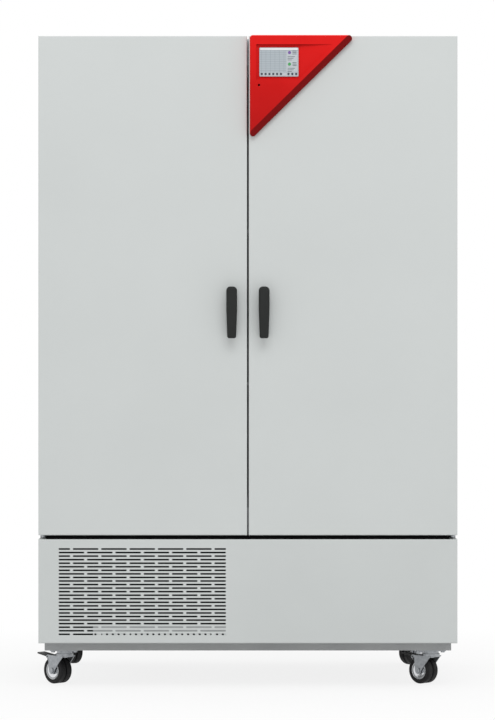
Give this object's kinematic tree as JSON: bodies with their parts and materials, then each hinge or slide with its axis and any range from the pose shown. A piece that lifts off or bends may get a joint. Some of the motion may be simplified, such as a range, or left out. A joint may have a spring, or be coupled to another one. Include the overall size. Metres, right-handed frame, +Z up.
{
  "type": "environmental test chamber",
  "caption": "Two-door environmental test chamber on casters with triangular controller, latch handles, slotted lower panel, inner glass doors, racks and cooling machinery",
  "frame": {"origin": "on the floor, below the middle of the overall box", "axes": "+X to the viewer's right, -Y towards the viewer of the doors, +Z up"},
  "size_m": [1.2771, 0.89, 1.938],
  "materials": {
    "door_panel": "smooth pale grey powder coat",
    "casing_panel": "smooth pale grey powder coat",
    "frame_paint": "mid grey powder coat",
    "stainless": "brushed",
    "zinc": "bright zinc plate",
    "chrome_wire": "polished",
    "foam": "rigid foam",
    "seal_rubber": "matt",
    "plug_rubber": "matt",
    "tyre_rubber": "matt",
    "handle_plastic": "fine grain",
    "black_plastic": "fine grain",
    "red_cover": "satin",
    "screen": "glossy touch screen",
    "pane": "clear",
    "compressor_paint": "black enamel",
    "coil_metal": "mill finish",
    "copper": "copper tube",
    "tank_plastic": "natural plastic"
  },
  "bodies": {
    "cabinet": {"base_frame": "frame_paint", "caster_plates": "zinc", "side_panel_left": "casing_panel", "side_panel_right": "casing_panel", "top_panel": "casing_panel", "rear_panel": "casing_panel", "panel_screws": "zinc", "front_panel_lower": "casing_panel", "cabinet_insulation": "foam", "inner_chamber": "stainless", "door_hardware": "zinc", "rack_rails": "stainless", "air_baffle": "stainless", "fan_motors": "black_plastic", "heating_coils": "stainless", "evaporator": "coil_metal", "compressor": "compressor_paint", "condenser": "coil_metal", "refrigerant_pipes": "copper", "humidifier": "tank_plastic", "electrical_box": "black_plastic", "access_port_sleeve": "stainless"},
    "door_left": {"door_skin_left": "door_panel", "door_insulation_left": "foam", "door_liner_left": "stainless", "door_gasket_left": "seal_rubber", "handle_base_left": "handle_plastic"},
    "lever_left": {"handle_lever_left": "handle_plastic"},
    "latch_left": {"latch_rod_left": "zinc"},
    "glass_left": {"glass_door_left": "pane", "glass_fittings_left": "stainless"},
    "fan_left": {"fan_rotor_left": "coil_metal"},
    "door_right": {"door_skin_right": "door_panel", "door_insulation_right": "foam", "door_liner_right": "stainless", "door_gasket_right": "seal_rubber", "handle_base_right": "handle_plastic", "controller_housing": "red_cover", "display": "screen"},
    "lever_right": {"handle_lever_right": "handle_plastic"},
    "latch_right": {"latch_rod_right": "zinc"},
    "glass_right": {"glass_door_right": "pane", "glass_fittings_right": "stainless"},
    "fan_right": {"fan_rotor_right": "coil_metal"},
    "cooling_fan": {"condenser_fan": "black_plastic"},
    "rack_lower": {"shelf_lower": "chrome_wire"},
    "rack_upper": {"shelf_upper": "chrome_wire"},
    "port_plug": {"access_port_plug": "plug_rubber"},
    "power_switch": {"main_switch": "black_plastic"},
    "caster_front_left": {"caster_fork_front_left": "zinc"},
    "wheels_front_left": {"caster_wheels_front_left": "tyre_rubber"},
    "pedal_front_left": {"brake_pedal_front_left": "black_plastic"},
    "caster_front_right": {"caster_fork_front_right": "zinc"},
    "wheels_front_right": {"caster_wheels_front_right": "tyre_rubber"},
    "pedal_front_right": {"brake_pedal_front_right": "black_plastic"},
    "caster_rear_left": {"caster_fork_rear_left": "zinc"},
    "wheels_rear_left": {"caster_wheels_rear_left": "tyre_rubber"},
    "caster_rear_right": {"caster_fork_rear_right": "zinc"},
    "wheels_rear_right": {"caster_wheels_rear_right": "tyre_rubber"}
  },
  "joints": [
    {"name": "door_hinge_left", "type": "hinge", "parent": "cabinet", "child": "door_left", "pos_m": [-0.608, -0.345, 0.455], "axis": [0, 0, -1], "range_deg": [0, 115]},
    {"name": "handle_pivot_left", "type": "hinge", "parent": "door_left", "child": "lever_left", "pos_m": [-0.048, -0.41, 1.18], "axis": [-1, 0, 0], "range_deg": [0, 35], "stiffness_Nm_per_rad": 1, "springref_deg": -28.65},
    {"name": "latch_slide_left", "type": "slide", "parent": "door_left", "child": "latch_left", "axis": [0, 0, -1], "range_m": [0, 0.01147]},
    {"name": "glass_hinge_left", "type": "hinge", "parent": "cabinet", "child": "glass_left", "pos_m": [-0.491, -0.3, 0.566], "axis": [0, 0, -1], "range_deg": [0, 100]},
    {"name": "fan_spin_left", "type": "hinge", "parent": "cabinet", "child": "fan_left", "pos_m": [-0.23, 0.306, 1.65], "axis": [0, 1, 0], "continuous": true},
    {"name": "door_hinge_right", "type": "hinge", "parent": "cabinet", "child": "door_right", "pos_m": [0.608, -0.345, 0.455], "axis": [0, 0, 1], "range_deg": [0, 115]},
    {"name": "handle_pivot_right", "type": "hinge", "parent": "door_right", "child": "lever_right", "pos_m": [0.048, -0.41, 1.18], "axis": [-1, 0, 0], "range_deg": [0, 35], "stiffness_Nm_per_rad": 1, "springref_deg": -28.65},
    {"name": "latch_slide_right", "type": "slide", "parent": "door_right", "child": "latch_right", "axis": [0, 0, -1], "range_m": [0, 0.01147]},
    {"name": "glass_hinge_right", "type": "hinge", "parent": "cabinet", "child": "glass_right", "pos_m": [0.491, -0.3, 0.566], "axis": [0, 0, 1], "range_deg": [0, 100]},
    {"name": "fan_spin_right", "type": "hinge", "parent": "cabinet", "child": "fan_right", "pos_m": [0.23, 0.306, 1.65], "axis": [0, 1, 0], "continuous": true},
    {"name": "cooling_fan_spin", "type": "hinge", "parent": "cabinet", "child": "cooling_fan", "pos_m": [-0.3125, -0.32, 0.275], "axis": [0, 1, 0], "continuous": true},
    {"name": "shelf_slide_lower", "type": "slide", "parent": "cabinet", "child": "rack_lower", "axis": [0, -1, 0], "range_m": [0, 0.045]},
    {"name": "shelf_slide_upper", "type": "slide", "parent": "cabinet", "child": "rack_upper", "axis": [0, -1, 0], "range_m": [0, 0.045]},
    {"name": "port_plug_slide", "type": "slide", "parent": "cabinet", "child": "port_plug", "axis": [1, 0, 0], "range_m": [0, 0.08]},
    {"name": "switch_rock", "type": "hinge", "parent": "cabinet", "child": "power_switch", "pos_m": [0.3385, 0.406, 0.262], "axis": [-1, 0, 0], "range_deg": [0, 16]},
    {"name": "caster_swivel_front_left", "type": "hinge", "parent": "cabinet", "child": "caster_front_left", "pos_m": [-0.552, -0.27, 0.09], "axis": [0, 0, 1], "continuous": true},
    {"name": "caster_roll_front_left", "type": "hinge", "parent": "caster_front_left", "child": "wheels_front_left", "pos_m": [-0.57394, -0.24954, 0.04], "axis": [-0.682, -0.7314, 0], "continuous": true},
    {"name": "brake_front_left", "type": "hinge", "parent": "caster_front_left", "child": "pedal_front_left", "pos_m": [-0.59442, -0.23044, 0.08], "axis": [-0.682, -0.7314, 0], "range_deg": [0, 18]},
    {"name": "caster_swivel_front_right", "type": "hinge", "parent": "cabinet", "child": "caster_front_right", "pos_m": [0.552, -0.27, 0.09], "axis": [0, 0, 1], "continuous": true},
    {"name": "caster_roll_front_right", "type": "hinge", "parent": "caster_front_right", "child": "wheels_front_right", "pos_m": [0.53006, -0.24954, 0.04], "axis": [-0.682, -0.7314, 0], "continuous": true},
    {"name": "brake_front_right", "type": "hinge", "parent": "caster_front_right", "child": "pedal_front_right", "pos_m": [0.50958, -0.23044, 0.08], "axis": [-0.682, -0.7314, 0], "range_deg": [0, 18]},
    {"name": "caster_swivel_rear_left", "type": "hinge", "parent": "cabinet", "child": "caster_rear_left", "pos_m": [-0.552, 0.32, 0.09], "axis": [0, 0, 1], "continuous": true},
    {"name": "caster_roll_rear_left", "type": "hinge", "parent": "caster_rear_left", "child": "wheels_rear_left", "pos_m": [-0.57005, 0.34396, 0.04], "axis": [-0.7986, -0.6018, 0], "continuous": true},
    {"name": "caster_swivel_rear_right", "type": "hinge", "parent": "cabinet", "child": "caster_rear_right", "pos_m": [0.552, 0.32, 0.09], "axis": [0, 0, 1], "continuous": true},
    {"name": "caster_roll_rear_right", "type": "hinge", "parent": "caster_rear_right", "child": "wheels_rear_right", "pos_m": [0.52743, 0.30279, 0.04], "axis": [0.5736, -0.8192, 0], "continuous": true}
  ],
  "couplings": [
    {"joint": "latch_slide_left", "follows": "handle_pivot_left", "m_per_rad": 0.018777},
    {"joint": "glass_hinge_left", "follows": "door_hinge_left", "ratio": 0.8695},
    {"joint": "latch_slide_right", "follows": "handle_pivot_right", "m_per_rad": 0.018777},
    {"joint": "glass_hinge_right", "follows": "door_hinge_right", "ratio": 0.8695}
  ]
}
